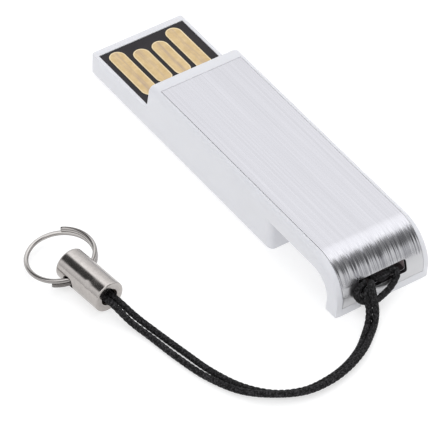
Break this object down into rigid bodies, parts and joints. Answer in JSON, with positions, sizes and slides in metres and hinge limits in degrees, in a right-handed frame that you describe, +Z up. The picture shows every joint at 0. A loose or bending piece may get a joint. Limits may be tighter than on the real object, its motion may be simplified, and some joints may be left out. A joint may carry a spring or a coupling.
{
  "type": "usb flash drive",
  "caption": "Slim flash drive with an open contact tongue, arched slotted tail, brushed metal face plate and a black cord lanyard with ferrule and split ring.",
  "frame": {"origin": "bottom centre of the drive itself, without its lanyard", "axes": "+X towards the contact tongue's tip, +Z up out of the face plate"},
  "size_m": [0.054, 0.0356, 0.0062],
  "materials": {
    "body_shell": "smooth white moulded plastic, satin gloss",
    "base_lid": "white moulded plastic",
    "face_plate": "pale silver, fine brush lines along its length",
    "plate_adhesive": "thin pressure-sensitive adhesive film",
    "cob_substrate": "near-black solder resist over laminate",
    "contact_vbus": "gold-plated contact with light scuffs along its length",
    "contact_data_minus": "gold-plated contact with light scuffs along its length",
    "contact_data_plus": "gold-plated contact with light scuffs along its length",
    "contact_ground": "gold-plated contact with light scuffs along its length",
    "die_attach_flash_lower": "cured die-attach film",
    "flash_die_lower": "polished silicon",
    "die_attach_flash_upper": "cured die-attach film",
    "flash_die_upper": "polished silicon",
    "die_attach_controller": "cured die-attach film",
    "controller_die": "polished silicon",
    "capacitor_input": "fired ceramic chip",
    "capacitor_core": "fired ceramic chip",
    "capacitor_flash": "fired ceramic chip",
    "capacitor_bulk": "fired ceramic chip",
    "resistor_data_minus": "dark coated ceramic chip",
    "resistor_data_plus": "dark coated ceramic chip",
    "oscillator": "plain metal can",
    "epoxy_mould": "black moulding compound",
    "lanyard_cord": "black braided cord",
    "ferrule": "warm nickel plate, turned",
    "split_ring": "bright plated spring steel wire"
  },
  "bodies": {
    "drive": {"body_shell": "body_shell", "base_lid": "base_lid", "face_plate": "face_plate", "plate_adhesive": "plate_adhesive", "cob_substrate": "cob_substrate", "contact_vbus": "contact_vbus", "contact_data_minus": "contact_data_minus", "contact_data_plus": "contact_data_plus", "contact_ground": "contact_ground", "die_attach_flash_lower": "die_attach_flash_lower", "flash_die_lower": "flash_die_lower", "die_attach_flash_upper": "die_attach_flash_upper", "flash_die_upper": "flash_die_upper", "die_attach_controller": "die_attach_controller", "controller_die": "controller_die", "capacitor_input": "capacitor_input", "capacitor_core": "capacitor_core", "capacitor_flash": "capacitor_flash", "capacitor_bulk": "capacitor_bulk", "resistor_data_minus": "resistor_data_minus", "resistor_data_plus": "resistor_data_plus", "oscillator": "oscillator", "epoxy_mould": "epoxy_mould", "lanyard_cord": "lanyard_cord", "ferrule": "ferrule"},
    "ring": {"split_ring": "split_ring"}
  },
  "joints": [
    {"name": "ring_swing", "type": "hinge", "parent": "drive", "child": "ring", "pos_m": [-0.00422, 0.02542, 0.00173], "axis": [0.095, -0.9866, 0.1328], "range_deg": [-150, 150]}
  ]
}
